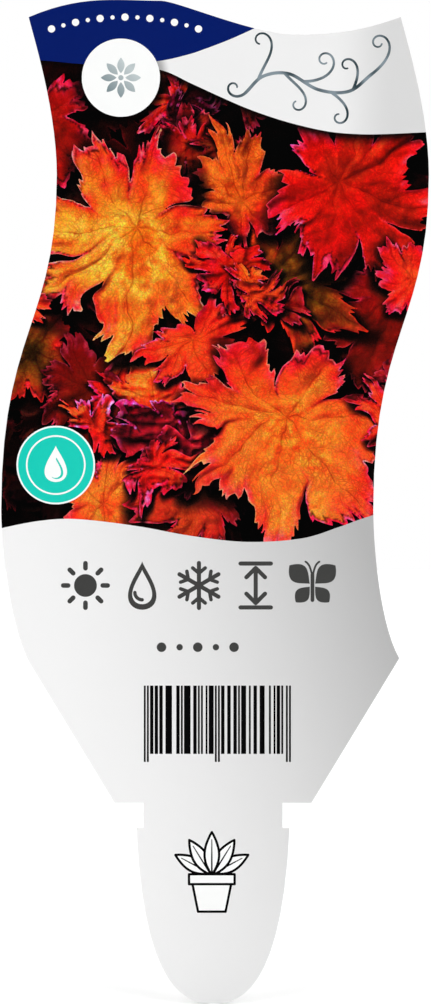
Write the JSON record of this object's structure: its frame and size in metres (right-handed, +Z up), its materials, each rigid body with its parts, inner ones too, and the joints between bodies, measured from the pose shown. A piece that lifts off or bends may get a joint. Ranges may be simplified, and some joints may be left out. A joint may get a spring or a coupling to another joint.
{
  "type": "plant label",
  "caption": "Flat die-cut plastic plant label with a wavy printed head, square shoulders and a rounded, barbed stake to push into a pot.",
  "frame": {"origin": "on the back face, on the stake's centre line at the height of the two shoulders, where the label comes to rest", "axes": "+Z up along the label's height, +X to the right of someone who looks at the printed face, +Y out of the plain back face; the printed face looks along -Y"},
  "size_m": [0.0731, 0.0005, 0.1716],
  "materials": {
    "printed_polypropylene": "white sheet, satin, offset printed in full colour on the front and varnished, bare on the back and edges"
  },
  "bodies": {
    "root": {"label_sheet": "printed_polypropylene"}
  },
  "joints": []
}
